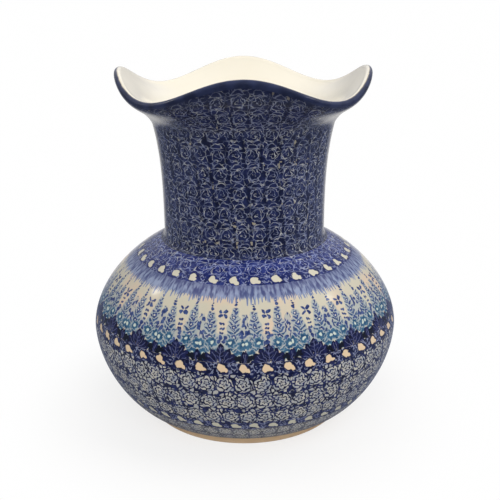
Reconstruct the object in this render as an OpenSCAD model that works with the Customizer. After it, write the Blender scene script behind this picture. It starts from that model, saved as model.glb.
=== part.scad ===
// Squat-bellied stoneware vase with a tall neck and a waved lip.
// Millimetres. +Z is up, and the origin is the centre of the foot ring's flat face.
// The clay body is five luted sections, under the fired coats of its glazes.

/* [Foot ring] */
// Outer radius of the turned foot ring
foot_r = 66.5; // [55:0.5:75]
// Width of the foot ring's flat face, bevels included
foot_w = 8; // [6:0.5:14]
// Height of the foot ring
foot_h = 5; // [3:0.5:8]
// Bevel on the foot ring's lower edges
foot_bevel = 0.8; // [0.3:0.1:1.5]
// Ledge from the foot ring out to the start of the bowl
foot_ledge = 1; // [0.5:0.5:4]

/* [Belly] */
// Outer radius of the vase at its widest line
belly_r = 100; // [88:1:125]
// Height of the bowl, from the foot ring to the widest line
bowl_h = 56; // [44:1:80]
// Height of the shoulder, from the widest line to the neck
shoulder_h = 57.5; // [44:0.5:80]

/* [Neck] */
// Outer radius of the neck where it rises from the shoulder
neck_r = 52; // [38:0.5:60]
// Growth of that radius from the shoulder to the throat
neck_flare = 5; // [2:0.5:9]
// Height of the neck, from the shoulder to the throat
neck_h = 72.5; // [45:0.5:120]

/* [Lip] */
// Outer radius of the lip at its edge
lip_r = 79; // [74:0.5:95]
// Rise of the lip, from the throat to its mean crown
lip_h = 27; // [22:0.5:40]
// Height of the waves above and below the mean crown
wave_h = 7.3; // [3:0.1:10]
// Number of high lobes round the lip
lobes = 4; // [3:1:8]
// Radius of the rounded edge
edge_r = 2.4; // [1.6:0.1:3.2]

/* [Wall] */
// Thickness of the wall up to the throat, glaze included
wall = 6; // [5:0.25:8]
// Thickness of the floor, glaze included
floor_t = 6.5; // [5:0.5:12]

/* [Glaze] */
// Thickness of each fired coat
glaze_t = 0.5; // [0.3:0.05:0.8]
// Width of the cobalt band on the lip, below its rounded edge
band_w = 2; // [1:0.5:8]
// Reach of the glaze pooled in the crease under the neck
pool_w = 2.5; // [1:0.5:5]

/* [Luted joints] */
// Width of the ridge that locates each joint
ridge_w = 2.4; // [1.6:0.1:2.6]
// Height of that ridge
ridge_h = 1.2; // [0.8:0.1:2]
// Room left for slip all round the ridge
slip_gap = 0.2; // [0.1:0.05:0.4]

/* [Hidden] */
$fn = 96;

// Fullness of the bowl's curve across and upwards
bowl_power = 1.8;
bowl_round = 0.72;
// Fullness of the shoulder's curve, where 2 would be a plain ellipse
shoulder_power = 1.76;
// How late the neck starts to flare
flare_power = 3.4;
// Pull of the lip's outer and inner curves at the throat and at the edge, of the lip's rise
throat_pull_share = 0.3;
edge_pull_share = 0.27;
inner_throat_pull_share = 0.4;
inner_edge_pull_share = 0.3;
// Slope of the lip's inside where it meets the rounded edge, from level
inner_slope = 50;
// Lean of the lip's outside at the edge, from upright, where less than 0 leans inwards
lip_lean = -2.5;
// How late the wave sets in above the throat, and how it eases off below the edge
wave_start_power = 1.8;
wave_end_power = 1.4;
// Width of a ridge's tip, of its base
ridge_tip_share = 0.6;

// Steps along each stretch of the outline, and round the lip
bowl_steps = 24;
shoulder_steps = 24;
neck_steps = 14;
lip_steps = 8;
band_steps = 2;
arc_steps = 3;
pool_steps = 4;
turn_steps = 72;
// Steps of the bowl over which the outer coat comes up to its thickness
lap_steps = 3;

bowl_base_r = foot_r + foot_ledge;
floor_z = foot_h + floor_t;
belly_z = foot_h + bowl_h;
crease_z = belly_z + shoulder_h;
throat_z = crease_z + neck_h;
throat_r = neck_r + neck_flare;
crown_z = throat_z + lip_h;

// Middle of the wall at each joint, where its ridge stands
foot_mid = foot_r - foot_w / 2;
belly_mid = belly_r - wall / 2;
neck_mid = neck_r - wall / 2;
throat_mid = throat_r - wall / 2;

level = [1, 0];
upright = [0, 1];
lean_dir = [sin(lip_lean), cos(lip_lean)];

function unit(v) = v / norm(v);
function backwards(list) = [for (i = [len(list) - 1:-1:0]) list[i]];
function from_to(list, a, b) = [for (i = [a:b]) list[i]];
function last(list) = list[len(list) - 1];

// An outline runs upwards as [radius, height] with the vase's inside on its left.
// This gives its heading at point i, with the headings at its two ends given.
function heading(line, i, first, end) =
    i == 0 ? first : i == len(line) - 1 ? end : unit(line[i + 1] - line[i - 1]);

// The same outline moved into the wall, by one depth for each point
function inset(line, depths, first, end) =
    [for (i = [0:len(line) - 1])
        let (d = heading(line, i, first, end))
        line[i] + depths[i] * [-d[1], d[0]]];
function every(line, depth) = [for (p = line) depth];

// Finished outside, stretch by stretch
function bowl_point(s) =
    let (drop = cos(90 * s), reach = pow(1 - pow(drop, bowl_power), bowl_round))
    [bowl_base_r + (belly_r - bowl_base_r) * reach, foot_h + bowl_h * (1 - drop)];
shoulder_draw = 1 - pow(neck_r / belly_r, 2);
function shoulder_point(s) =
    [belly_r * sqrt(1 - shoulder_draw * pow(s, shoulder_power)), belly_z + shoulder_h * s];
function neck_point(s) =
    [neck_r + neck_flare * pow(s, flare_power), crease_z + neck_h * s];
function curve_point(a, b, c, d, s) =
    pow(1 - s, 3) * a + 3 * s * pow(1 - s, 2) * b + 3 * s * s * (1 - s) * c + pow(s, 3) * d;

bowl_out = [for (i = [0:bowl_steps]) bowl_point(i / bowl_steps)];
shoulder_out = [for (i = [0:shoulder_steps]) shoulder_point(i / shoulder_steps)];
neck_out = [for (i = [0:neck_steps]) neck_point(i / neck_steps)];

throat = [throat_r, throat_z];
throat_dir = unit([neck_flare * flare_power, neck_h]);
lip_end = [lip_r, crown_z - edge_r * (1 + lean_dir[0])];
throat_pull = throat + lip_h * throat_pull_share * throat_dir;
edge_pull = lip_end - lip_h * edge_pull_share * lean_dir;
// The curve runs at three times its pull near the edge, which gives where the band starts.
band_share = 1 - band_w / (3 * lip_h * edge_pull_share);
lip_shares = [for (i = [0:lip_steps]) band_share * i / lip_steps,
              for (i = [1:band_steps]) band_share + (1 - band_share) * i / band_steps];
lip_out = [for (s = lip_shares) curve_point(throat, throat_pull, edge_pull, lip_end, s)];

// Middle of the rounded edge, and the lip's own curve inside, which runs up into that edge
edge_mid = lip_end + edge_r * [-lean_dir[1], lean_dir[0]];
inner_dir = [cos(inner_slope), sin(inner_slope)];
inner_end = edge_mid + edge_r * [-inner_dir[1], inner_dir[0]];
throat_in = throat - [wall, 0];
inner_throat_pull = throat_in + lip_h * inner_throat_pull_share * throat_dir;
inner_edge_pull = inner_end - lip_h * inner_edge_pull_share * inner_dir;
lip_in = [for (s = lip_shares)
          curve_point(throat_in, inner_throat_pull, inner_edge_pull, inner_end, s)];

// Clay faces and the inside, each worked out from the finished outside
bowl_clay = inset(bowl_out, [for (i = [0:bowl_steps]) glaze_t * min(1, i / lap_steps)],
                  level, upright);
function bowl_inside(depth, bottom) =
    let (line = inset(bowl_out, every(bowl_out, depth), level, upright),
         kept = [for (i = [lap_steps:bowl_steps]) if (line[i][1] > bottom) line[i]])
    concat([[kept[0][0] - (kept[0][1] - bottom), bottom]], kept);
bowl_clay_in = bowl_inside(wall - glaze_t, floor_z - glaze_t);
bowl_in = bowl_inside(wall, floor_z);

crease_dir = unit(last(shoulder_out) - shoulder_out[shoulder_steps - 1]);
function shoulder_inset(depth) =
    inset(shoulder_out, every(shoulder_out, depth), upright, crease_dir);
// The shoulder's inside runs on at its own slope until it meets the neck's bore.
function shoulder_inside(depth) =
    let (line = shoulder_inset(depth), n = len(line) - 1,
         slope = (line[n][1] - line[n - 1][1]) / (line[n - 1][0] - line[n][0]),
         bore = neck_r - depth)
    concat(line, [[bore, line[n][1] + slope * (line[n][0] - bore)]]);
shoulder_clay = shoulder_inset(glaze_t);
shoulder_clay_in = shoulder_inside(wall - glaze_t);
shoulder_in = shoulder_inside(wall);

function neck_inset(depth) = [for (p = neck_out) p - [depth, 0]];
neck_clay = neck_inset(glaze_t);
neck_clay_in = neck_inset(wall - glaze_t);
neck_in = neck_inset(wall);

lip_clay = inset(lip_out, every(lip_out, glaze_t), upright, lean_dir);
lip_clay_in = inset(lip_in, every(lip_in, -glaze_t), upright, inner_dir);

// Share of the wave's height that lifts each point, kept as the point's third value. It
// grows from nothing at the throat, is alike through the wall and whole at the edge.
function wave_share(z) =
    let (s = min((z - throat_z) / (lip_end[1] - throat_z), 1))
    1 - pow(1 - pow(s, wave_start_power), wave_end_power);
function still(line) = [for (p = line) concat(p, 0)];
function lifted(line) =
    [for (i = [0:len(line) - 1]) concat(line[i], wave_share(lip_out[i][1]))];
lip_out_face = lifted(lip_out);
lip_clay_face = lifted(lip_clay);
lip_clay_in_face = lifted(lip_clay_in);
lip_in_face = lifted(lip_in);

// Points on the rounded edge between two angles, where 90 degrees is the crown
edge_start = -lip_lean;
edge_stop = 90 + inner_slope;
function edge_arc(r, a, b) =
    [for (i = [0:arc_steps])
        let (t = a + (b - a) * i / arc_steps)
        concat(edge_mid + r * [cos(t), sin(t)], 1)];

// Cross-section of a joint's ridge, from its outer foot to its inner foot
function ridge(r, z, gap) =
    let (foot = ridge_w / 2 + gap, tip = ridge_w * ridge_tip_share / 2 + gap, top = z + ridge_h + gap)
    [[r + foot, z], [r + tip, top], [r - tip, top], [r - foot, z]];
function groove(r, z) = backwards(ridge(r, z, slip_gap));

// Glaze pooled in the crease, from the shoulder up to the neck
function shoulder_z(r) =
    belly_z + shoulder_h * pow((1 - pow(r / belly_r, 2)) / shoulder_draw, 1 / shoulder_power);
pool_low = [neck_r + pool_w, shoulder_z(neck_r + pool_w)];
pool_high = [neck_r, crease_z + pool_w];
pool = [for (i = [0:pool_steps])
        let (s = i / pool_steps)
        pow(1 - s, 2) * pool_low + 2 * s * (1 - s) * [neck_r, crease_z] + s * s * pool_high];

module turned(outline) {
    rotate_extrude()
        polygon(outline);
}

// A point of an outline at one angle round the vase, lifted by the wave there
function waved_point(p, a) =
    [p[0] * cos(a), p[0] * sin(a), p[1] + wave_h * cos(lobes * a) * p[2]];

// A ring with the waves in it. Each face is split along the diagonal that rises
// with the angle, so that the clay and the coats on it share the same facets.
module waved(outline) {
    n = len(outline);
    points = [for (k = [0:turn_steps - 1]) for (p = outline) waved_point(p, 360 * k / turn_steps)];
    faces = [for (k = [0:turn_steps - 1]) for (j = [0:n - 1])
                let (next_j = (j + 1) % n, next_k = (k + 1) % turn_steps,
                     a = k * n + j, b = k * n + next_j, c = next_k * n + next_j, d = next_k * n + j,
                     rises = outline[next_j][1] >= outline[j][1])
                each rises ? [[a, b, c], [a, c, d]] : [[a, b, d], [b, c, d]]];
    polyhedron(points, faces);
}

module foot_ring() {
    color("tan")
        turned(concat(
            [[foot_r - foot_w, foot_bevel], [foot_r - foot_w + foot_bevel, 0],
             [foot_r - foot_bevel, 0], [foot_r, foot_bevel], [foot_r, foot_h]],
            ridge(foot_mid, foot_h, 0),
            [[foot_r - foot_w, foot_h]]));
}

module lower_bowl() {
    color("burlywood")
        turned(concat(
            [[0, foot_h]], groove(foot_mid, foot_h), bowl_clay,
            ridge(belly_mid, belly_z, 0), backwards(bowl_clay_in),
            [[0, floor_z - glaze_t]]));
}

module shoulder() {
    color("wheat")
        turned(concat(
            shoulder_clay, [neck_clay[0]],
            ridge(neck_mid, crease_z, 0), [neck_clay_in[0]],
            backwards(shoulder_clay_in), groove(belly_mid, belly_z)));
}

module neck() {
    color("burlywood")
        turned(concat(
            neck_clay, ridge(throat_mid, throat_z, 0),
            backwards(neck_clay_in), groove(neck_mid, crease_z)));
}

module lip() {
    color("wheat")
        waved(concat(
            lip_clay_face, from_to(edge_arc(edge_r - glaze_t, edge_start, 90), 1, arc_steps),
            from_to(edge_arc(edge_r - glaze_t, 90, edge_stop), 1, arc_steps - 1),
            backwards(lip_clay_in_face), still(groove(throat_mid, throat_z))));
}

module liner_glaze() {
    color("ivory")
        turned(concat(
            [[0, floor_z]], bowl_in, from_to(shoulder_in, 1, len(shoulder_in) - 1), neck_in,
            backwards(neck_clay_in), backwards(shoulder_clay_in),
            from_to(backwards(bowl_clay_in), 1, len(bowl_clay_in) - 1), [[0, floor_z - glaze_t]]));
}

module outer_glaze() {
    color("royalblue")
        turned(concat(
            bowl_out, [for (p = shoulder_out) if (p[1] > belly_z && p[0] > pool_low[0]) p],
            pool, [for (p = neck_out) if (p[1] > pool_high[1]) p],
            backwards(neck_clay), from_to(backwards(shoulder_clay), 0, shoulder_steps - 1),
            from_to(backwards(bowl_clay), 0, bowl_steps - 1)));
}

// The lip is dipped by itself, so one coat holds its outside below the band and its inside.
module lip_glaze() {
    color("cornflowerblue") {
        waved(concat(
            from_to(lip_out_face, 0, lip_steps), backwards(from_to(lip_clay_face, 0, lip_steps))));
        waved(concat(
            edge_arc(edge_r, 90, edge_stop),
            from_to(backwards(lip_in_face), 1, len(lip_in) - 1), lip_clay_in_face,
            from_to(edge_arc(edge_r - glaze_t, edge_stop, 90), 1, arc_steps)));
    }
}

module lip_band() {
    band_end = lip_steps + band_steps;
    color("midnightblue")
        waved(concat(
            from_to(lip_out_face, lip_steps, band_end),
            from_to(edge_arc(edge_r, edge_start, 90), 1, arc_steps),
            backwards(edge_arc(edge_r - glaze_t, edge_start, 90)),
            backwards(from_to(lip_clay_face, lip_steps, band_end - 1))));
}

foot_ring();
lower_bowl();
shoulder();
neck();
lip();
liner_glaze();
outer_glaze();
lip_glaze();
lip_band();
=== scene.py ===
import math

import bpy
import numpy as np
from mathutils import Euler, Matrix, Vector


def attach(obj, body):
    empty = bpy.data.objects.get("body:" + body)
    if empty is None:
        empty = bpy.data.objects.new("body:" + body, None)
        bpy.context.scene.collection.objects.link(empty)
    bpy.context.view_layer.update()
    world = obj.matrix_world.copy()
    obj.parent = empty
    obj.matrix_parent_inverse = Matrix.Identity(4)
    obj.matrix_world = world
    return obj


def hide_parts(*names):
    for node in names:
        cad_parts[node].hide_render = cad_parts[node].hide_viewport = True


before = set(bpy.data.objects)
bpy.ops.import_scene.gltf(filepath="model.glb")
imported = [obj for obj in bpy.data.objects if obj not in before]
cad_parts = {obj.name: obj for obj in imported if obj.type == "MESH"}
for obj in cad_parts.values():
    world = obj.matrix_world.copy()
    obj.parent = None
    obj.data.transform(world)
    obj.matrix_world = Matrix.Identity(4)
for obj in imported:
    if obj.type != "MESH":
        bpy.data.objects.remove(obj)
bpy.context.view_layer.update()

MM = 0.001
PER_M = 1000.0

# Steps of the meshes: round the axis, along each stretch of the outline, over the coat's lap
STEPS = 288
BOWL_STEPS, SHOULDER_STEPS, NECK_STEPS, LIP_STEPS = 64, 72, 48, 48
POOL_STEPS, EDGE_STEPS, INNER_EDGE_STEPS, FLOOR_STEPS = 12, 12, 10, 13
BASE_STEPS, LAP_STEPS = 23, 8
# A radius in mm below which a point is on the axis
ON_AXIS = 1e-6

# The form, as in the part's source
FOOT_R, FOOT_W, FOOT_H, FOOT_BEVEL, FOOT_LEDGE = 66.5, 8.0, 5.0, 0.8, 1.0
BELLY_R, NECK_R, NECK_FLARE, LIP_R = 100.0, 52.0, 5.0, 79.0
BASE_R, THROAT_R = FOOT_R + FOOT_LEDGE, NECK_R + NECK_FLARE
BOWL_H, SHOULDER_H, NECK_H, LIP_H = 56.0, 57.5, 72.5, 27.0
BOWL_POWER, BOWL_ROUND, SHOULDER_POWER, FLARE_POWER = 1.8, 0.72, 1.76, 3.4
BELLY_Z = FOOT_H + BOWL_H
CREASE_Z = BELLY_Z + SHOULDER_H
THROAT_Z = CREASE_Z + NECK_H
CROWN_Z = THROAT_Z + LIP_H
WAVE_H, LOBES, EDGE_R, LEAN = 7.3, 4, 2.4, math.radians(-2.5)
THROAT_PULL, EDGE_PULL = 0.3, 0.27
INNER_THROAT_PULL, INNER_EDGE_PULL, INNER_SLOPE = 0.4, 0.3, math.radians(50)
WAVE_START, WAVE_END = 1.8, 1.4
WALL, FLOOR_T, GLAZE, BAND_W, POOL_W = 6.0, 6.5, 0.5, 2.0, 2.5
LEAN_DIR = np.array([math.sin(LEAN), math.cos(LEAN)])


def column(r, z, share=0.0):
    """An outline as rows of radius, height and share of the lip's wave."""
    return np.stack([r + 0 * z, z + 0 * r, share + 0 * r * z], 1)


def bowl_line(n):
    drop = np.cos(np.linspace(0, math.pi / 2, n + 1))
    reach = (1 - drop**BOWL_POWER) ** BOWL_ROUND
    return column(BASE_R + (BELLY_R - BASE_R) * reach, FOOT_H + BOWL_H * (1 - drop))


SHOULDER_DRAW = 1 - (NECK_R / BELLY_R) ** 2


def shoulder_line(n):
    s = np.linspace(0, 1, n + 1)
    r = BELLY_R * np.sqrt(1 - SHOULDER_DRAW * s**SHOULDER_POWER)
    return column(r, BELLY_Z + SHOULDER_H * s)


def neck_line(n):
    s = np.linspace(0, 1, n + 1)
    return column(NECK_R + NECK_FLARE * s**FLARE_POWER, CREASE_Z + NECK_H * s)


THROAT = np.array([THROAT_R, THROAT_Z])
THROAT_OUT = NECK_FLARE * FLARE_POWER
THROAT_DIR = np.array([THROAT_OUT, NECK_H]) / math.hypot(THROAT_OUT, NECK_H)
LIP_END = np.array([LIP_R, CROWN_Z - EDGE_R * (1 + LEAN_DIR[0])])
EDGE_MID = LIP_END + EDGE_R * np.array([-LEAN_DIR[1], LEAN_DIR[0]])
INNER_DIR = np.array([math.cos(INNER_SLOPE), math.sin(INNER_SLOPE)])
INNER_END = EDGE_MID + EDGE_R * np.array([-INNER_DIR[1], INNER_DIR[0]])
BAND_SHARE = 1 - BAND_W / (3 * LIP_H * EDGE_PULL)


def wave_share(z):
    s = np.clip((z - THROAT_Z) / (LIP_END[1] - THROAT_Z), 0, 1)
    return 1 - (1 - s**WAVE_START) ** WAVE_END


def curve(a, b, c, d, n):
    s = np.linspace(0, 1, n + 1)[:, None]
    return (1 - s) ** 3 * a + 3 * s * (1 - s) ** 2 * b + 3 * s**2 * (1 - s) * c + s**3 * d


def lip_lines(n):
    """The lip's outside and inside, whose points at one share lift alike."""
    outer = curve(
        THROAT,
        THROAT + LIP_H * THROAT_PULL * THROAT_DIR,
        LIP_END - LIP_H * EDGE_PULL * LEAN_DIR,
        LIP_END,
        n,
    )
    start = THROAT - [WALL, 0]
    inner = curve(
        start,
        start + LIP_H * INNER_THROAT_PULL * THROAT_DIR,
        INNER_END - LIP_H * INNER_EDGE_PULL * INNER_DIR,
        INNER_END,
        n,
    )
    share = wave_share(outer[:, 1])
    return column(outer[:, 0], outer[:, 1], share), column(inner[:, 0], inner[:, 1], share)


def heads(line):
    """Heading of an outline at each of its points, and its wave's growth for each mm."""
    h = np.gradient(line, axis=0)
    return h / np.linalg.norm(h[:, :2], axis=1)[:, None]


def left_of(headings):
    return np.stack([-headings[:, 1], headings[:, 0], 0 * headings[:, 0]], 1)


def inset(line, depth, first=None, end=None):
    """The outline moved into the wall by a depth, with the inside on its left."""
    h = heads(line)
    if first is not None:
        h[0, :2] = first
    if end is not None:
        h[-1, :2] = end
    return line + np.reshape(depth, (-1, 1)) * left_of(h)


def shoulder_z(r):
    return BELLY_Z + SHOULDER_H * ((1 - (r / BELLY_R) ** 2) / SHOULDER_DRAW) ** (1 / SHOULDER_POWER)


# Outside, from the foot ring up to the rounded edge
bowl_out = bowl_line(BOWL_STEPS)
shoulder_out = shoulder_line(SHOULDER_STEPS)
neck_out = neck_line(NECK_STEPS)
lip_out, lip_in = lip_lines(LIP_STEPS)
pool_low = np.array([NECK_R + POOL_W, shoulder_z(NECK_R + POOL_W)])
pool_high = np.array([NECK_R, CREASE_Z + POOL_W])
ps = np.linspace(0, 1, POOL_STEPS + 1)
pool_line = np.outer((1 - ps) ** 2, pool_low) + np.outer(ps**2, pool_high)
pool_line = pool_line + np.outer(2 * ps * (1 - ps), [NECK_R, CREASE_Z])
pool = column(pool_line[:, 0], pool_line[:, 1])


def edge_line(a, b, n):
    """The rounded edge from one angle to another."""
    t = np.linspace(a, b, n + 1)
    return column(EDGE_MID[0] + EDGE_R * np.cos(t), EDGE_MID[1] + EDGE_R * np.sin(t), 1.0)


def arcs_of(line):
    """Distance in mm along an outline to each of its points."""
    return np.concatenate([[0], np.cumsum(np.linalg.norm(np.diff(line[:, :2], axis=0), axis=1))])


# Least distance in mm from the end of one stretch to the next one's first point
APART = 0.1
outside = np.concatenate(
    [
        bowl_out,
        [p for p in shoulder_out[1:] if p[0] > pool_low[0] + APART],
        pool,
        [p for p in neck_out if p[1] > pool_high[1] + 2 * APART],
        lip_out[1:],
        edge_line(-LEAN, math.pi / 2, EDGE_STEPS)[1:],
    ]
)
outside_heads = heads(outside)
outside_arc = arcs_of(outside)
crown = len(outside) - 1


def near(point):
    return int(np.argmin(np.linalg.norm(outside[:, :2] - point, axis=1)))


belly_i = near([BELLY_R, BELLY_Z])
pool_i = near(pool_low)
throat_i = near(THROAT)
band_i = near(lip_out[round(LIP_STEPS * BAND_SHARE), :2])


def arc_at(z):
    """Distance in mm along the outside from the foot ring up to a height."""
    return float(np.interp(z, outside[:, 1], outside_arc))


# Inside, from the crown down to the middle of the floor
neck_in = neck_out - [WALL, 0, 0]
shoulder_in = inset(shoulder_out, WALL, [0.0, 1.0])
slope = (shoulder_in[-1] - shoulder_in[-2])[1] / (shoulder_in[-2] - shoulder_in[-1])[0]
bore_r = NECK_R - WALL
bore_z = shoulder_in[-1][1] + slope * (shoulder_in[-1][0] - bore_r)
bowl_in = inset(bowl_out, WALL, [1.0, 0.0], [0.0, 1.0])
floor_z = FOOT_H + FLOOR_T
bowl_in = np.array([p for p in bowl_in if p[1] > floor_z + 3 * APART])
floor_edge = np.array([bowl_in[0][0] - (bowl_in[0][1] - floor_z), floor_z, 0.0])
edge_in = edge_line(math.pi / 2, math.pi / 2 + INNER_SLOPE, INNER_EDGE_STEPS)
lip_inside = np.concatenate([edge_in, lip_in[::-1][1:]])
bore = np.array([p for p in neck_in[::-1] if p[1] > bore_z + 3 * APART] + [[bore_r, bore_z, 0.0]])
liner = np.concatenate(
    [
        bore,
        shoulder_in[::-1],
        bowl_in[::-1][1:],
        [floor_edge + [3 * APART, 3 * APART, 0.0], floor_edge],
        [[r, floor_z, 0.0] for r in np.linspace(floor_edge[0] - WALL / 2, 0, FLOOR_STEPS + 1)],
    ]
)


def turned(name, stretches, material):
    """A closed ring round the axis. Its outline is stretches of points, headings and arcs."""
    share = np.arange(STEPS + 1) / STEPS
    angle = math.pi / 2 + 2 * math.pi * np.arange(STEPS + 1) / STEPS
    c, s = np.cos(angle), np.sin(angle)
    wave = WAVE_H * np.cos(LOBES * angle)
    swing = -LOBES * WAVE_H * np.sin(LOBES * angle)
    verts = []
    faces, sizes, normals, uvs = [], [], [], []

    def ring_of(p):
        first = sum(len(v) for v in verts)
        if p[0] < ON_AXIS:
            verts.append(np.array([[0, 0, p[1]]]) * MM)
            return np.full(STEPS + 1, first)
        verts.append(np.stack([p[0] * c, p[0] * s, p[1] + wave * p[2]], 1)[:-1] * MM)
        return np.append(first + np.arange(STEPS), first)

    def normals_at(p, h):
        along = np.stack([h[0] * c, h[0] * s, h[1] + wave * h[2]], 1)
        around = np.stack([-s, c, swing * p[2] / max(p[0], ON_AXIS)], 1)
        n = np.cross(around, along)
        return n / np.linalg.norm(n, axis=1)[:, None]

    order = [
        (points[j], headings[j], arcs[j], points[j + 1], headings[j + 1], arcs[j + 1])
        for points, headings, arcs in stretches
        for j in range(len(points) - 1)
    ]
    rings = [ring_of(p) for p, *_ in order]
    for i, (p, hp, vp, q, hq, vq) in enumerate(order):
        low, high = rings[i], rings[(i + 1) % len(order)]
        if p[0] < ON_AXIS and q[0] < ON_AXIS:
            continue
        n_low, n_high = normals_at(p, hp), normals_at(q, hq)
        ids = np.stack([low[:-1], low[1:], high[1:], high[:-1]], 1)
        ns = np.stack([n_low[:-1], n_low[1:], n_high[1:], n_high[:-1]], 1)
        v_low, v_high = np.full(STEPS, vp * MM), np.full(STEPS, vq * MM)
        uv = np.stack(
            [
                np.stack([share[:-1], v_low], 1),
                np.stack([share[1:], v_low], 1),
                np.stack([share[1:], v_high], 1),
                np.stack([share[:-1], v_high], 1),
            ],
            1,
        )
        keep = [0, 2, 3] if p[0] < ON_AXIS else [0, 1, 2] if q[0] < ON_AXIS else [0, 1, 2, 3]
        faces.append(ids[:, keep].ravel())
        normals.append(ns[:, keep].reshape(-1, 3))
        uvs.append(uv[:, keep].reshape(-1, 2))
        sizes.append(np.full(STEPS, len(keep)))
    faces, sizes = np.concatenate(faces), np.concatenate(sizes)
    verts = np.concatenate(verts)
    mesh = bpy.data.meshes.new(name)
    mesh.vertices.add(len(verts))
    mesh.vertices.foreach_set("co", verts.ravel())
    mesh.loops.add(len(faces))
    mesh.loops.foreach_set("vertex_index", faces)
    mesh.polygons.add(len(sizes))
    mesh.polygons.foreach_set("loop_start", np.concatenate([[0], np.cumsum(sizes)[:-1]]))
    mesh.update(calc_edges=True)
    mesh.validate()
    layer = mesh.uv_layers.new(name="Stamp")
    layer.data.foreach_set("uv", np.concatenate(uvs).ravel())
    mesh.materials.append(material)
    mesh.polygons.foreach_set("use_smooth", np.ones(len(sizes), bool))
    mesh.normals_split_custom_set(np.concatenate(normals).tolist())
    obj = bpy.data.objects.new(name, mesh)
    bpy.context.scene.collection.objects.link(obj)
    return obj


def flat(a, b, arc=0.0):
    """A straight stretch between two points."""
    a, b = (np.append(p, 0.0)[:3].astype(float) for p in (a, b))
    h = (b - a) / np.linalg.norm((b - a)[:2])
    return ([a, b], [h, h], [arc, arc])


def coat(a, b, lap=False):
    """Stretches of an outer coat from point a of the outside up to b. A lap thins it out at a."""
    line, hd, arc = outside[a : b + 1], outside_heads[a : b + 1], outside_arc[a : b + 1]
    depth = np.full(len(line), GLAZE)
    if lap:
        depth = GLAZE * np.minimum(1, np.arange(len(line)) / LAP_STEPS)
    back = (line + depth[:, None] * left_of(hd))[::-1]
    made = [(line, hd, arc), flat(line[-1], back[0], arc[-1]), (back, -hd[::-1], arc[::-1])]
    if not lap:
        made.append(flat(back[-1], line[0], arc[0]))
    return made


def lining(line, axis=False):
    """Stretches of an inner coat along a line down the inside, which may end on the axis."""
    hd = heads(line)
    arc = arcs_of(line)
    back = (line + GLAZE * left_of(hd))[::-1]
    if axis:
        hd[-1] = [-1, 0, 0]
        back[0] = [0, line[-1][1] - GLAZE, 0]
    return [
        (line, hd, arc),
        flat(line[-1], back[0], arc[-1]),
        (back, -hd[::-1], arc[::-1]),
        flat(back[-1], line[0], arc[0]),
    ]


# Materials

GLAZE_IOR = 1.5
# How loosely petals are strewn, and the depth in mm of a leaf's teeth
STREWN, TEETH = 0.8, 0.35
# Height in mm of the slight relief of the glaze and of the bare clay
GLAZE_BUMP, CLAY_BUMP = 0.14, 0.12


def srgb(r, g, b):
    """A colour as painted, from 0 to 255, in the linear values that nodes take."""
    out = []
    for c in (r, g, b):
        c /= 255
        out.append(c / 12.92 if c <= 0.04045 else ((c + 0.055) / 1.055) ** 2.4)
    return (*out, 1.0)


class Num:
    """A value in a node tree, used in ordinary sums."""

    def __init__(self, nodes, socket):
        self.nodes, self.socket = nodes, socket

    def __add__(self, o):
        return self.nodes.math("ADD", self, o)

    __radd__ = __add__

    def __sub__(self, o):
        return self.nodes.math("SUBTRACT", self, o)

    def __rsub__(self, o):
        return self.nodes.math("SUBTRACT", o, self)

    def __mul__(self, o):
        return self.nodes.math("MULTIPLY", self, o)

    __rmul__ = __mul__

    def __truediv__(self, o):
        return self.nodes.math("DIVIDE", self, o)


class Nodes:
    """A node tree, with sums on values and mixes of colours."""

    def __init__(self, tree):
        self.tree = tree

    def feed(self, socket, value):
        if isinstance(value, Num):
            value = value.socket
        if isinstance(value, bpy.types.NodeSocket):
            self.tree.links.new(value, socket)
        else:
            socket.default_value = value

    def node(self, kind, *inputs):
        n = self.tree.nodes.new(kind)
        for socket, value in zip(n.inputs, inputs):
            self.feed(socket, value)
        return n

    def math(self, op, *inputs):
        n = self.tree.nodes.new("ShaderNodeMath")
        n.operation = op
        for socket, value in zip(n.inputs, inputs):
            self.feed(socket, value)
        return Num(self, n.outputs[0])

    def sqrt(self, a):
        return self.math("SQRT", a)

    def sin(self, a):
        return self.math("SINE", a)

    def cos(self, a):
        return self.math("COSINE", a)

    def floor(self, a):
        return self.math("FLOOR", a)

    def frac(self, a):
        return self.math("FRACT", a)

    def abs(self, a):
        return self.math("ABSOLUTE", a)

    def least(self, *a):
        out = a[0]
        for b in a[1:]:
            out = self.math("MINIMUM", out, b)
        return out

    def most(self, *a):
        out = a[0]
        for b in a[1:]:
            out = self.math("MAXIMUM", out, b)
        return out

    def rise(self, a, low, high, start=0.0, end=1.0):
        """From start to end, smoothly, as a goes from low to high."""
        n = self.tree.nodes.new("ShaderNodeMapRange")
        n.interpolation_type = "SMOOTHSTEP"
        for socket, value in zip(n.inputs, (a, low, high, start, end)):
            self.feed(socket, value)
        return Num(self, n.outputs["Result"])

    def fall(self, a, low, high):
        """From 1 to 0 as a goes from low to high."""
        return 1.0 - self.rise(a, low, high)

    def past(self, a, at, soft):
        """From 0 to 1 as a passes a value, over a soft step."""
        return self.rise(a, at - soft, at + soft)

    def between(self, a, low, high, soft):
        """1 from low to high and 0 outside, with soft ends."""
        return self.past(a, low, soft) * (1.0 - self.past(a, high, soft))

    def mix(self, share, a, b):
        """Colour a, with colour b over it by a share."""
        n = self.tree.nodes.new("ShaderNodeMix")
        n.data_type = "RGBA"
        self.feed(n.inputs[0], share)
        self.feed(n.inputs[6], a)
        self.feed(n.inputs[7], b)
        return n.outputs[2]


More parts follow.
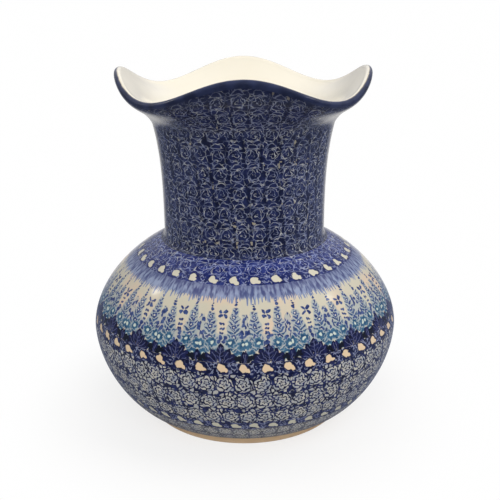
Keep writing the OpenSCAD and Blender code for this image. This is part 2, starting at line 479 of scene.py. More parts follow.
class Sheet(Nodes):
    """A glaze or clay, with a point's place on the vase and the shapes of the stamps."""

    def __init__(self, name):
        self.material = bpy.data.materials.new(name)
        self.material.use_nodes = True
        super().__init__(self.material.node_tree)
        self.shader = next(n for n in self.tree.nodes if n.type == "BSDF_PRINCIPLED")
        uv = self.node("ShaderNodeUVMap")
        uv.uv_map = "Stamp"
        split = self.node("ShaderNodeSeparateXYZ", uv.outputs["UV"])
        self.turn = Num(self, split.outputs["X"])
        self.arc = Num(self, split.outputs["Y"]) * PER_M
        self.place = self.node("ShaderNodeTexCoord").outputs["Object"]
        split = self.node("ShaderNodeSeparateXYZ", self.place)
        x, y = Num(self, split.outputs["X"]), Num(self, split.outputs["Y"])
        self.radius = self.sqrt(x * x + y * y) * PER_M

    def cloud(self, size, detail, place=None):
        """Noise with spots of a size in mm."""
        n = self.tree.nodes.new("ShaderNodeTexNoise")
        self.feed(n.inputs["Vector"], place or self.place)
        n.inputs["Scale"].default_value = PER_M / size
        n.inputs["Detail"].default_value = detail
        return n.outputs

    def noise(self, size, detail, place=None):
        """Noise about 0.5 with spots of a size in mm."""
        return Num(self, self.cloud(size, detail, place)[0])

    def shaken(self, size, amount):
        """The point's place moved about by a few tenths of a mm, as by hand."""
        less = self.tree.nodes.new("ShaderNodeVectorMath")
        less.operation = "MULTIPLY_ADD"
        self.tree.links.new(self.cloud(size, 1.0)["Color"], less.inputs[0])
        less.inputs[1].default_value = (2 * amount * MM,) * 3
        self.tree.links.new(self.place, less.inputs[2])
        return less.outputs[0]

    def sway(self, size, amount):
        """Two wobbles in mm, as of the lines of a hand-cut stamp."""
        s = self.node("ShaderNodeSeparateColor", self.cloud(size, 1.0)["Color"])
        return tuple((Num(self, o) - 0.5) * (2 * amount) for o in s.outputs[:2])

    def crackle(self, size, place):
        """Distance in mm from the nearest line of an uneven net."""
        n = self.tree.nodes.new("ShaderNodeTexVoronoi")
        n.feature = "DISTANCE_TO_EDGE"
        self.feed(n.inputs["Vector"], place)
        n.inputs["Scale"].default_value = PER_M / size
        return Num(self, n.outputs["Distance"]) * size

    def scatter(self, x, y, size, half):
        """Share of loosely strewn round petals, one to a cell of a size in mm."""
        n = self.tree.nodes.new("ShaderNodeTexVoronoi")
        n.voronoi_dimensions = "2D"
        spot = self.node("ShaderNodeCombineXYZ", x, y, 0.0)
        self.tree.links.new(spot.outputs[0], n.inputs["Vector"])
        n.inputs["Scale"].default_value = 1 / size
        n.inputs["Randomness"].default_value = STREWN
        return self.fall(Num(self, n.outputs["Distance"]) * size, half - 0.15, half + 0.15)

    def chance(self, i, j, seed):
        """Three even chances from 0 to 1 for one stamp."""
        v = self.node("ShaderNodeCombineXYZ", i, j, float(seed))
        n = self.tree.nodes.new("ShaderNodeTexWhiteNoise")
        n.noise_dimensions = "3D"
        self.tree.links.new(v.outputs[0], n.inputs["Vector"])
        s = self.node("ShaderNodeSeparateColor", n.outputs["Color"])
        return tuple(Num(self, o) for o in s.outputs[:3])

    def stamps(self, up, n, pitch, step, slip, turn, seed):
        """Place in mm in the stamp that a point falls in, and the stamp's three chances.

        n stamps go round in each row, and each row is a pitch high and starts a step of a stamp
        further on. A stamp is out of line by up to slip mm and turned by up to turn radians.
        """
        row = self.floor(up / pitch)
        along = self.turn * float(n) + row * step
        col = self.floor(along)
        own = self.chance(self.math("FLOORED_MODULO", col, float(n)), row, seed)
        x = (along - col - 0.5) * (self.radius * (2 * math.pi / n))
        y = up - (row + 0.5) * pitch
        x = x + (own[0] - 0.5) * (2 * slip)
        y = y + (own[1] - 0.5) * (2 * slip)
        swing = (own[2] - 0.5) * (2 * turn)
        return x - y * swing, y + x * swing, own

    def turned(self, x, y, degrees):
        """A place as seen along axes that are turned by an angle."""
        c, s = math.cos(math.radians(degrees)), math.sin(math.radians(degrees))
        return x * c + y * s, y * c - x * s

    def oval(self, x, y, at, half, degrees, soft):
        """Share of an oval at a point, with half its length and width."""
        px, py = self.turned(x - at[0], y - at[1], degrees)
        px, py = px * (1 / half[0]), py * (1 / half[1])
        return self.fall(px * px + py * py, 1 - soft, 1 + soft)

    def leaf(self, x, y, at, length, width, degrees):
        """Share of a pointed, toothed leaf that grows from a point.

        Also gives the distances in mm off its midrib and along it.
        """
        s, n = self.turned(x - at[0], y - at[1], degrees)
        n = self.abs(n)
        along = self.least(self.most(s * (math.pi / length), 0.0), math.pi)
        half = self.sin(along - 0.35 * self.sin(along)) * (width / 2)
        half = half - self.abs(self.frac(s * 0.6 + n * 0.25) - 0.5) * TEETH * 2
        return self.rise(half - n, 0.0, 0.28), n, s

    def flower_edge(self, x, y, at, petals, size, cut):
        """Radius in mm of a round-petalled outline that way, and the distance from its middle."""
        px, py = x - at[0], y - at[1]
        r = self.sqrt(px * px + py * py)
        a = self.math("ARCTAN2", py, px)
        return self.abs(self.cos(a * (petals / 2))) * cut + (size - cut), r

    def flower(self, x, y, at, petals, size, cut):
        """Share of a round-petalled flower, and the distance from its middle."""
        edge, r = self.flower_edge(x, y, at, petals, size, cut)
        return self.rise(edge - r, -0.05, 0.25), r

    def rose(self, x, y, gap, petals, seed, wave):
        """Distance in mm from the nearest line of a coiled rose, and from its middle."""
        r = self.sqrt(x * x + y * y)
        a = self.math("ARCTAN2", y, x) * (1 / (2 * math.pi))
        lobes = self.cos((a * petals - r * 0.11) * (2 * math.pi)) * wave
        coil = r * (1 / gap) - a + lobes + seed
        k = self.floor(coil)
        from_line = (0.5 - self.abs(coil - k - 0.5)) * gap
        ends = self.frac(a * petals + k * 0.38 + coil * 0.22)
        from_end = (0.5 - self.abs(ends - 0.5)) * r * (2 * math.pi / petals)
        from_end = from_end + self.fall(r, gap * 0.9, gap * 1.3) * 9.0
        return self.least(from_line, from_end), r

    def finish(self, colour, rough, bump, grain):
        """Sets the colour, the roughness and a slight relief, up to bump mm high."""
        self.feed(self.shader.inputs["Base Color"], colour)
        self.feed(self.shader.inputs["Roughness"], rough)
        self.shader.inputs["IOR"].default_value = GLAZE_IOR
        n = self.tree.nodes.new("ShaderNodeBump")
        n.inputs["Strength"].default_value = 1.0
        n.inputs["Distance"].default_value = bump * MM
        self.feed(n.inputs["Height"], grain)
        self.tree.links.new(n.outputs["Normal"], self.shader.inputs["Normal"])
        return self.material


def glaze_finish(t, colour, rough=0.11):
    """A clear glossy glaze, slightly uneven and here and there less shiny."""
    r = t.noise(9.0, 3.0) * 0.10 + rough
    relief = t.noise(14.0, 2.0) * 0.7 + t.noise(2.6, 2.0) * 0.16
    return t.finish(colour, r, GLAZE_BUMP, relief)


# Grounds, dark and light with the ink
NAVY, NAVY_LIGHT = srgb(27, 33, 63), srgb(42, 51, 94)
COBALT, COBALT_LIGHT = srgb(28, 37, 97), srgb(50, 62, 130)
ROSE_GROUND, ROSE_GROUND_LIGHT = srgb(18, 23, 54), srgb(36, 46, 98)
MARK_GROUND, MARK_GROUND_LIGHT = srgb(21, 26, 56), srgb(34, 42, 86)
LOW_GROUND, LOW_GROUND_LIGHT = srgb(29, 35, 72), srgb(60, 68, 114)
DOT_GROUND, DOT_GROUND_LIGHT = srgb(24, 32, 84), srgb(46, 58, 124)
BAND, BAND_LIGHT = srgb(33, 39, 64), srgb(48, 56, 88)
LINER, LINER_WARM = srgb(245, 240, 227), srgb(241, 235, 218)
CLAY, CLAY_LIGHT, CLAY_SPECK = srgb(214, 184, 150), srgb(234, 209, 176), srgb(150, 118, 90)
CREAM, PEACH = srgb(209, 203, 184), srgb(222, 201, 177)
# Lines, petals and marks
PALE_LINE, BLUE_LINE, LIGHT_LINE = srgb(138, 147, 178), srgb(154, 166, 210), srgb(208, 210, 211)
LIP_LINE, CURL_LINE, VEIN = srgb(160, 168, 196), srgb(150, 158, 190), srgb(116, 124, 172)
ROSE_GREY, ROSE_CREAM, BARE_SPOT = srgb(162, 168, 178), srgb(208, 205, 194), srgb(172, 165, 146)
MARK, LOW_MARK, DOT = srgb(232, 208, 175), srgb(212, 209, 190), srgb(218, 213, 194)
# BLOT_AND_CREASE_SHADE is the dark ink where stamps overlap, and also the colour of the painted shade
# along the neck's crease
BLOT_AND_CREASE_SHADE, VEIL = srgb(17, 21, 44), srgb(206, 204, 192)
# Inks of the frieze, deep and thin
BLUE, BLUE_THIN = srgb(38, 54, 108), srgb(72, 93, 146)
TEAL, TEAL_THIN = srgb(36, 78, 114), srgb(76, 120, 150)
DEEP, DEEP_THIN = srgb(19, 23, 50), srgb(33, 39, 84)
BLACK_LEAF, HALO = srgb(22, 27, 42), srgb(164, 175, 180)
FLORET_EYE, DAISY_EYE, DAISY_RING = srgb(214, 212, 196), srgb(206, 217, 208), srgb(40, 74, 116)
# Inks of the brushed band, from its deepest to its palest
BRUSH_DEEPEST, BRUSH_DEEP, BRUSH_MIDDLE = srgb(44, 60, 122), srgb(46, 64, 126), srgb(58, 76, 138)
BRUSH_PALE, BRUSH_PALEST = srgb(134, 152, 192), srgb(146, 161, 196)
EDGE_GREY, EDGE_CREAM, LINER_SPECK = srgb(92, 92, 104), srgb(226, 216, 194), srgb(196, 176, 140)

# Stamps in one turn of each row
NECK_COUNT, LIP_COUNT, COBALT_COUNT, DOT_COUNT = 33, 42, 36, 34
FRIEZE_COUNT, MARK_COUNT, ROSE_COUNT = 22, 49, 58
LOW_MARK_COUNT, FOOT_ROSE_COUNT = 50, 60
# Hairs in one turn of the brushed band, short and stray
HAIR_COUNT, STRAY_COUNT = 420.0, 231.0
# Height in mm of a row of net stamps, of roses and of the small roses over the foot
NET_PITCH, ROSE_PITCH, FOOT_ROSE_PITCH = 12.0, 12.6, 9.6
# Room in mm for a single row of marks and for the frieze, more than either needs
SINGLE_ROW, FRIEZE_ROW = 40.0, 60.0


def ground(t, dark, light, size):
    """Cobalt ground with uneven ink."""
    return t.mix(t.rise(t.noise(size, 3.0), 0.35, 0.68), dark, light)


# Layout of a net stamp in mm, from its middle: the rosette, the coil in it and the arch above
ROSETTE_DROP, ROSETTE_R, COIL_DROP, COIL_GAP = 1.9, 3.9, 1.7, 2.3
ARCH_UP, ARCH_HALF, ARCH_H = 2.5, 3.0, 2.5


def lattice(t, up, n, dark, light, line, seed, spots=0.35, columns=1.0):
    """Dark rosettes under small arches, edged in thin pale lines.

    The ground is bare in a share of the stamps, and darker in columns where stamps overlap.
    """
    x, y, own = t.stamps(up, n, NET_PITCH, step=0.1, slip=0.45, turn=0.10, seed=seed)
    side = t.abs(x)
    wx, wy = t.sway(2.8, 1.0)
    x, y = x + wx, y + wy
    edge, r = t.flower_edge(x, y, (0.0, -ROSETTE_DROP), 5, ROSETTE_R, 0.9)
    coil, _ = t.rose(x, y + COIL_DROP, COIL_GAP, petals=3, seed=own[0] * 0.5, wave=0.24)
    wide = own[1] * 0.05 + 0.04
    inside = t.rise(edge - r, 0.1, 0.5)
    lines = t.fall(coil, wide, wide + 0.26) * inside
    lines = t.most(lines, t.fall(t.abs(edge - r), 0.06, 0.34))
    cx, cy = x * (1 / ARCH_HALF), (y - ARCH_UP) * (1 / ARCH_H)
    cap = t.sqrt(cx * cx + cy * cy) - 1.0
    above = t.rise(y, ARCH_UP - 0.1, ARCH_UP + 0.2)
    arch = t.fall(t.abs(cap), 0.03, 0.13) * above
    foot = t.fall(t.abs(y - ARCH_UP), 0.06, 0.32) * t.fall(t.abs(x), 3.8, 4.6)
    net = t.fall(t.crackle(3.4, t.shaken(2.4, 0.9)), 0.04, 0.26)
    net = net * t.rise(t.noise(3.4, 1.0), 0.34, 0.48)
    net = net * (1.0 - inside) * (1.0 - t.fall(cap, -0.1, 0.1) * above)
    lines = t.most(lines, net, arch, foot)
    ink = t.rise(t.noise(3.0, 2.0), 0.34, 0.60)
    dense = t.rise(side + wx * 0.8, 3.3, 4.8) * t.rise(own[2], 0.05, 0.8) * columns
    lines = lines * (ink * 0.6 + 0.4) * (1.0 - dense * 0.6)
    base = t.mix(dense * 0.55, ground(t, dark, light, 4.2), BLOT_AND_CREASE_SHADE)
    line = t.mix(t.rise(t.noise(2.2, 1.0), 0.48, 0.64), line, LIGHT_LINE)
    out = t.mix(lines * 0.92, base, line)
    corner = t.abs(side - 4.6) * 0.12 + t.abs(y - 5.0) * 0.05
    spot = t.rise(t.noise(2.4, 1.0) - corner, 0.50, 0.54) * t.rise(own[1], 1.0 - spots, 1.04 - spots)
    return t.mix(spot, out, BARE_SPOT)


def rose_field(t, up, n, pitch=ROSE_PITCH, seed=5.0, size=1.0, share=0.96):
    """Pale roses in navy outline with leaf bits between, staggered row by row."""
    x, y, own = t.stamps(up, n, pitch, step=0.12, slip=0.3, turn=0.4, seed=seed)
    wx, wy = t.sway(3.0, 0.9)
    x, y = (x + wx) * (1 / size), (y + wy) * (1 / size)
    near_line, r = t.rose(x, y, 2.25, petals=5, seed=own[0] * 0.35, wave=0.22)
    wide = own[1] * 0.06 + 0.27
    petals = t.rise(near_line, wide, wide + 0.26) * t.fall(r, 5.0, 5.4)
    chips = t.crackle(2.9 * size, t.shaken(2.6, 0.8))
    chips = t.rise(chips, 0.32, 0.58) * t.rise(r, 5.3, 5.6) * t.rise(t.noise(4.2, 1.0), 0.34, 0.46)
    pale = t.mix(t.rise(t.noise(3.6, 2.0), 0.3, 0.7), ROSE_GREY, ROSE_CREAM)
    base = ground(t, ROSE_GROUND, ROSE_GROUND_LIGHT, 3.2)
    return t.mix(t.most(petals, chips) * share, base, pale)


def mark_row(t, up, n, middle, half, base, pale, seed, tilt):
    """Ragged cream marks with a tail, and small curls and dots between them."""
    start = middle - SINGLE_ROW / 2
    x, y, _ = t.stamps(up - start, n, SINGLE_ROW, step=0.0, slip=0.3, turn=0.2, seed=seed)
    gap = t.radius * (math.pi / n)
    cx = t.abs(x) - gap
    wx, wy = t.sway(3.0, 1.3)
    mx, my = x + wx, y + wy
    long, wide = half
    body = t.oval(mx, my, (-0.25 * long, 0.12 * wide), (0.82 * long, wide), tilt, soft=0.2)
    tail = t.oval(mx, my, (0.55 * long, -0.42 * wide), (0.62 * long, 0.5 * wide), tilt, soft=0.25)
    mark = t.most(body, tail)
    shade = t.oval(mx, my, (0.0, 0.0), (1.35 * long, 1.45 * wide), tilt, soft=0.3)
    ring = t.sqrt(cx * cx * 1.5 + y * y)
    curl = t.fall(t.abs(ring - 1.25), 0.16, 0.44) * t.fall(t.math("ARCTAN2", y, cx), 1.7, 2.1)
    bits = t.fall(t.crackle(2.4, t.shaken(1.8, 0.6)), 0.10, 0.36)
    bits = bits * t.rise(t.noise(2.6, 1.0), 0.44, 0.56)
    bits = t.most(curl, bits * t.rise(ring, 1.5, 1.9)) * (1.0 - shade)
    out = t.mix(bits * 0.85, base, CURL_LINE)
    return t.mix(mark, out, pale)


# Heights in mm of the painted bands, as distances along the outside
A_CLAY, A_DARK, A_LOW = arc_at(9.0), arc_at(23.4), arc_at(29.4)
A_ROSE, A_MARK = arc_at(64.9), arc_at(71.4)
A_TOP, A_FRINGE, A_DOTS, A_CREASE = arc_at(102.7), arc_at(107.4), arc_at(111.2), arc_at(117.2)
# Half the width in mm of the soft step from one band to the next, high on the belly
SEAM = 0.15
# The rows of roses are counted from here, so that one of them starts at the low marks
ROSE_START = A_LOW - ROSE_PITCH * 3 - 0.2


def bare_clay(t):
    warm = t.mix(t.noise(11.0, 3.0), CLAY, CLAY_LIGHT)
    specks = t.rise(t.noise(0.8, 2.0), 0.64, 0.72)
    return t.mix(specks * 0.4, warm, CLAY_SPECK)


def bowl_paint():
    t = Sheet("stamped_bowl")
    up = t.arc
    field = rose_field(t, up - ROSE_START, ROSE_COUNT)
    low_base = ground(t, LOW_GROUND, LOW_GROUND_LIGHT, 2.6)
    middle = (A_DARK + A_LOW) / 2
    low = mark_row(t, up, LOW_MARK_COUNT, middle, (2.75, 2.3), low_base, LOW_MARK, 11.0, tilt=-16.0)
    foot_band = rose_field(
        t, up - A_DARK, FOOT_ROSE_COUNT, pitch=FOOT_ROSE_PITCH, seed=15.0, size=0.8, share=1.0
    )
    foot_band = t.mix(0.21, foot_band, VEIL)
    out = t.mix(t.past(up, A_DARK, 0.2), foot_band, low)
    edge = up + (t.noise(6.0, 1.0) - 0.5) * 0.9
    out = t.mix(t.past(edge, A_LOW, 0.2), out, field)
    brim = up + (t.noise(7.0, 2.0) - 0.5) * 1.6
    glazed = t.past(brim, A_CLAY, 0.25)
    out = t.mix(glazed, bare_clay(t), out)
    rough = (1.0 - glazed) * 0.62 + t.noise(9.0, 3.0) * 0.10 + 0.12
    relief = t.noise(14.0, 2.0) * 0.6 + t.noise(2.6, 2.0) * 0.15 + glazed * 0.5
    return t.finish(out, rough, GLAZE_BUMP, relief)


# Layout of the frieze in mm, from the middle and the foot of each repeat
# Fronds: off the middle, foot, top, unevenness, and the step from leaflet to leaflet
FROND_OFF, FROND_FOOT, FROND_TOP, FROND_UNEVEN, LEAFLET_STEP = 6.8, 6.0, 30.4, 1.6, 2.75
# Buds over a frond's tip and florets up the frond, with height and radius
BUDS = (1.6, 0.95), (3.6, 0.75), (5.3, 0.5)
FLORETS = (14.2, 2.1), (20.4, 1.9), (26.2, 1.6)
# Height of the stars, and the beads under them: off the middle, step and radius
STAR_UP, BEAD_OFF, BEAD_STEP, BEAD_R = 27.4, 0.7, 2.6, 0.72
# Daisies, with middle and radius
DAISIES = ((10.2, 4.4), 3.3), ((12.4, 10.2), 3.3), ((5.4, 11.4), 3.1)
# Lance leaves, with foot, length, width and lean in degrees
BLACK_LEAVES = ((7.4, -1.2), 6.6, 3.8, 78.0), ((12.9, -1.2), 7.4, 3.8, 118.0)
VEINED_LEAVES = (
    ((0.6, -0.8), 10.6, 4.8, 62.0),
    ((0.8, -0.8), 10.2, 4.8, 38.0),
    ((1.0, -0.8), 9.0, 4.2, 14.0),
    ((13.6, -1.2), 8.6, 4.2, 92.0),
)
MIDDLE_LEAF = (0.0, -0.8), 12.0, 5.8, 90.0


def fronds(t, out, place, teal, blue):
    """Tall fronds with slanting leaflets, one each side of the middle and not quite level."""
    x, y, side = place
    top = t.math("SIGN", x) * FROND_UNEVEN + FROND_TOP
    s = side - FROND_OFF
    off = t.abs(s)
    reach = t.most(5.6 - (y - 7.0) * 0.18, 1.0) * (t.noise(2.8, 1.0) * 0.9 + 0.6)
    rung = (y - off * 0.75) * (1 / LEAFLET_STEP) + t.math("SIGN", s) * 0.25
    from_rib = t.abs(t.frac(rung) - 0.5) * LEAFLET_STEP
    swell = off / reach
    thick = t.sqrt(t.most(1.0 - swell * swell, 0.0)) * 1.02
    on = t.rise(y, FROND_FOOT, FROND_FOOT + 0.6) * t.fall(y, top - 0.4, top + 0.4)
    within = t.fall(off, reach, reach + 0.7) * on
    leaflets = t.rise(thick - from_rib, -0.08, 0.24) * on
    out = t.mix(within * 0.8, out, HALO)
    out = t.mix(leaflets, out, t.mix(t.rise(y, 11.0, 22.0), teal, blue))
    for over, size in BUDS:
        bud = t.sqrt(s * s + (y - top - over) * (y - top - over)) - size
        out = t.mix(t.fall(bud, -0.1, 0.2), out, blue)
    for height, size in FLORETS:
        petals, r = t.flower(side, y, (FROND_OFF, height), 5, size, 0.6)
        ring, _ = t.flower(side, y, (FROND_OFF, height), 5, size + 0.5, 0.5)
        out = t.mix(ring * 0.9, out, HALO)
        out = t.mix(petals, out, blue)
        out = t.mix(t.fall(r, 0.35, 0.7), out, FLORET_EYE)
    return out


def strewn_petals(t, out, place, half, chance, blue):
    """Petals strewn up the middle and at the edge of each repeat."""
    x, y, side = place
    for from_mid, narrowing, top, size, petal in (
        (side, 0.24, 16.5, 2.9, 1.2),
        (t.abs(side - half), 0.17, 27.5, 2.8, 1.16),
    ):
        within = t.fall(from_mid - (4.4 - (y - 9.0) * narrowing), -0.3, 0.3)
        within = within * t.between(y, 8.0, top, 0.6)
        shape = t.scatter(x + chance * 30.0, y * 0.85, size, petal)
        out = t.mix(within * 0.65, out, HALO)
        out = t.mix(shape * within, out, blue)
    return out


def stars(t, out, place, chance, blue):
    """Star florets between the fronds, and beads under them."""
    x, y, side = place
    fx, fy = t.turned(x, y - STAR_UP - (chance - 0.5) * 2.0, 45.0)
    fx, fy = t.abs(fx), t.abs(fy)
    arm = (fx - 2.0) * (fx - 2.0) * 0.42 + fy * fy * 1.1
    star = t.least(arm, (fy - 2.0) * (fy - 2.0) * 0.42 + fx * fx * 1.1)
    out = t.mix(t.fall(star, 0.8, 1.15), out, blue)
    by = y - (t.floor(y / BEAD_STEP) + 0.5) * BEAD_STEP
    bx = side - BEAD_OFF
    bead = t.sqrt(bx * bx + by * by) - BEAD_R
    return t.mix(t.fall(bead, -0.1, 0.2) * t.between(y, 15.6, 23.4, 0.1), out, blue)


def daisies(t, out, place, teal):
    """Daisies, low on both sides of each repeat, with pale middles."""
    _, y, side = place
    for at, size in DAISIES:
        petals, r = t.flower(side, y, at, 7, size, 0.9)
        ring, _ = t.flower(side, y, at, 7, size + 0.45, 0.8)
        out = t.mix(ring * 0.8, out, HALO)
        out = t.mix(petals, out, teal)
        out = t.mix(t.fall(t.abs(r - 1.75), 0.1, 0.4) * 0.5, out, DAISY_RING)
        out = t.mix(t.fall(r, 0.8, 1.15), out, DAISY_EYE)
    return out


def lance_leaves(t, out, place, deep):
    """Dark lance leaves round the foot of each repeat, most of them with a light midrib."""
    x, y, side = place
    shade = t.fall(y + (t.noise(2.6, 1.0) - 0.5) * 5.0, 0.4, 1.2)
    out = t.mix(shade, out, deep)
    for at, length, width, lean in BLACK_LEAVES:
        share, _, _ = t.leaf(side, y, at, length, width, lean)
        out = t.mix(share, out, BLACK_LEAF)
    for at, length, width, lean in VEINED_LEAVES:
        share, off, along = t.leaf(side, y, at, length, width, lean)
        out = t.mix(share, out, deep)
        rib = t.fall(off, 0.06, 0.3) * t.between(along, 1.0, length * 0.75, 0.3)
        out = t.mix(share * rib * 0.6, out, VEIN)
    share, off, along = t.leaf(x, y, *MIDDLE_LEAF)
    out = t.mix(share, out, deep)
    veins = t.fall(t.abs(t.frac(along * 0.42 - off * 0.34) - 0.5) * 2.4, 0.1, 0.4) * 0.5
    ribs = t.most(t.fall(off, 0.08, 0.32), veins)
    return t.mix(share * ribs * t.between(along, 1.0, 9.6, 0.3) * 0.65, out, VEIN)


def frieze(t, up):
    """Cream ground with tall fronds, strewn petals, stars and daisies over dark leaves."""
    x, y, own = t.stamps(up - A_MARK, FRIEZE_COUNT, FRIEZE_ROW, step=0.0, slip=0.3, turn=0.03, seed=21.0)
    y = y + FRIEZE_ROW / 2
    wx, wy = t.sway(3.0, 1.3)
    x, y = x + wx, y + wy
    half = t.radius * (math.pi / FRIEZE_COUNT)
    place = x, y, t.abs(x)
    out = t.mix(t.rise(t.noise(26.0, 2.0), 0.48, 0.66), CREAM, PEACH)
    ink = t.rise(t.noise(2.2, 2.0), 0.32, 0.68)
    blue, teal = t.mix(ink, BLUE, BLUE_THIN), t.mix(ink, TEAL, TEAL_THIN)
    deep = t.mix(ink, DEEP, DEEP_THIN)
    out = fronds(t, out, place, teal, blue)
    out = strewn_petals(t, out, place, half, own[0], blue)
    out = stars(t, out, place, own[1], blue)
    out = daisies(t, out, place, teal)
    return lance_leaves(t, out, place, deep)


def hair(t, count, shift, seed):
    """How far a point is from the middle of its hair, from 0 to 1, and the hair's chance."""
    along = t.turn * count + shift
    i = t.floor(along)
    own = t.chance(t.math("FLOORED_MODULO", i, count), 0.0, seed)
    return t.abs(along - i - 0.5) * 2.0, own[0]


def fringe(t, up, out):
    """Brushed blue band whose hairs run down over what is below it."""
    taper, chance = hair(t, HAIR_COUNT, (t.noise(6.0, 1.0) - 0.5) * 1.6, 31.0)
    length = (chance * 4.2 + 1.4) * (1.0 - taper * taper * 0.9)
    hairs = t.rise(up + length - A_TOP - 0.6, -0.3, 0.3)
    taper, chance = hair(t, STRAY_COUNT, 0.3, 37.0)
    length = (chance * 6.0 + 0.6) * t.fall(taper, 0.25, 0.75)
    hairs = t.most(hairs, t.rise(up + length - A_TOP - 0.6, -0.3, 0.4))
    streak = t.node("ShaderNodeCombineXYZ", t.turn * 250.0, up * 0.14, 0.0)
    streaks = t.noise(PER_M, 2.0, streak.outputs[0])
    brushed = t.mix(t.rise(streaks, 0.38, 0.62), BRUSH_DEEP, BRUSH_PALEST)
    brushed = t.mix(t.rise(t.noise(7.0, 2.0), 0.45, 0.65) * 0.35, brushed, BRUSH_MIDDLE)
    brushed = t.mix(t.fall(up, A_TOP - 4.0, A_TOP + 2.4) * 0.6, brushed, BRUSH_PALE)
    brushed = t.mix(t.rise(up, A_TOP + 2.4, A_FRINGE) * 0.5, brushed, BRUSH_DEEPEST)
    return t.mix(hairs * 0.93, out, brushed)


def cobalt_lattice(t, up):
    up = up - A_DOTS
    return lattice(t, up, COBALT_COUNT, COBALT, COBALT_LIGHT, BLUE_LINE, 7.0, spots=0.0, columns=0.5)


def shoulder_paint():
    t = Sheet("stamped_shoulder")
    up = t.arc
    field = rose_field(t, up - ROSE_START, ROSE_COUNT)
    mark_base = ground(t, MARK_GROUND, MARK_GROUND_LIGHT, 3.0)
    marks = mark_row(
        t, up, MARK_COUNT, (A_ROSE + A_MARK) / 2, (2.85, 2.15), mark_base, MARK, 12.0, tilt=-26.0
    )
    out = t.mix(t.past(up, A_ROSE, SEAM), field, marks)
    edge = up + (t.noise(3.0, 1.0) - 0.5) * 0.8
    out = t.mix(t.past(edge, A_MARK, SEAM), out, frieze(t, up))
    out = fringe(t, up, out)
    dot_base = ground(t, DOT_GROUND, DOT_GROUND_LIGHT, 3.0)
    dots = mark_row(
        t, up, DOT_COUNT, (A_FRINGE + A_DOTS) / 2, (2.6, 2.4), dot_base, DOT, 13.0, tilt=-20.0
    )
    edge = up + (t.noise(4.0, 1.0) - 0.5) * 1.2
    out = t.mix(t.past(edge, A_FRINGE, SEAM), out, dots)
    out = t.mix(t.past(edge, A_DOTS, SEAM), out, cobalt_lattice(t, up))
    return glaze_finish(t, out)


def neck_paint():
    t = Sheet("stamped_neck")
    up = t.arc
    net = lattice(t, up - A_CREASE, NECK_COUNT, NAVY, NAVY_LIGHT, PALE_LINE, 9.0)
    out = t.mix(t.rise(up, A_CREASE - 0.4, A_CREASE + 0.3), cobalt_lattice(t, up), net)
    # Painted shade: the neck is darkened in a band along its crease with the shoulder, where shade falls
    crease_shade = t.between(up, A_CREASE - 1.2, A_CREASE + 1.4, 0.9)
    out = t.mix(crease_shade * 0.45, out, BLOT_AND_CREASE_SHADE)
    return glaze_finish(t, out)


def lip_paint():
    t = Sheet("stamped_lip")
    net = lattice(t, t.arc - A_CREASE, LIP_COUNT, NAVY, NAVY_LIGHT, LIP_LINE, 10.0, spots=0.2)
    low = outside_arc[band_i]
    faint = t.rise(t.arc, low - 7.0, low - 0.5) * 0.6 + 0.05
    return glaze_finish(t, t.mix(faint, net, NAVY))


def band_paint():
    t = Sheet("cobalt_band")
    out = t.mix(t.rise(t.noise(8.0, 3.0), 0.3, 0.7), BAND, BAND_LIGHT)
    top = outside_arc[crown]
    edge = t.arc + (t.noise(5.0, 1.0) - 0.5) * 0.8
    out = t.mix(t.rise(edge, top - 1.5, top - 0.5), out, EDGE_GREY)
    out = t.mix(t.rise(edge, top - 0.7, top - 0.1), out, EDGE_CREAM)
    return glaze_finish(t, out, 0.1)


def liner_paint():
    t = Sheet("cream_liner")
    out = t.mix(t.noise(38.0, 3.0), LINER, LINER_WARM)
    specks = t.rise(t.noise(1.3, 1.0), 0.80, 0.84)
    out = t.mix(specks * 0.25, out, LINER_SPECK)
    return glaze_finish(t, out, 0.13)


def clay_paint(name, rings=True):
    t = Sheet(name)
    out = bare_clay(t)
    relief = t.noise(1.2, 3.0) * 0.5
    if rings:
        relief = relief + t.sin(t.radius * 2.6 + t.noise(20.0, 1.0) * 3.0) * 0.25
    return t.finish(out, t.noise(5.0, 2.0) * 0.2 + 0.68, CLAY_BUMP, relief)


clay = clay_paint("turned_clay")
body_clay = clay_paint("body_clay", rings=False)

# Pieces


def piece(name, stretches, material, *nodes, slot):
    """A turned mesh that takes the place of a solid."""
    obj = turned(name, stretches, material)
    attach(obj, "root")
    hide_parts(*nodes)


cream = liner_paint()
piece("bowl_coat", coat(0, belly_i, lap=True), bowl_paint(), "outer_glaze", slot="stamped_glaze")
piece("shoulder_coat", coat(belly_i, pool_i), shoulder_paint(), "outer_glaze", slot="stamped_glaze")
piece("neck_coat", coat(pool_i, throat_i), neck_paint(), "outer_glaze", slot="stamped_glaze")
piece("lip_coat", coat(throat_i, band_i), lip_paint(), "lip_glaze", slot="lip_glaze")
piece("band_coat", coat(band_i, crown), band_paint(), "lip_band", slot="cobalt_band")
piece("lip_lining", lining(lip_inside), cream, "lip_glaze", slot="lip_glaze")
piece("liner_coat", lining(liner, axis=True), cream, "liner_glaze", slot="cream_glaze")

# Foot ring, bevelled along both of its lower edges
inner_r = FOOT_R - FOOT_W
corners = [
    (inner_r, FOOT_H),
    (inner_r, FOOT_BEVEL),
    (inner_r + FOOT_BEVEL, 0),
    (FOOT_R - FOOT_BEVEL, 0),
    (FOOT_R, FOOT_BEVEL),
    (FOOT_R, FOOT_H),
    (inner_r, FOOT_H),
]
foot = [flat(p, q) for p, q in zip(corners, corners[1:])]
piece("foot_ring_turned", foot, clay, "foot_ring", slot="bare_clay")

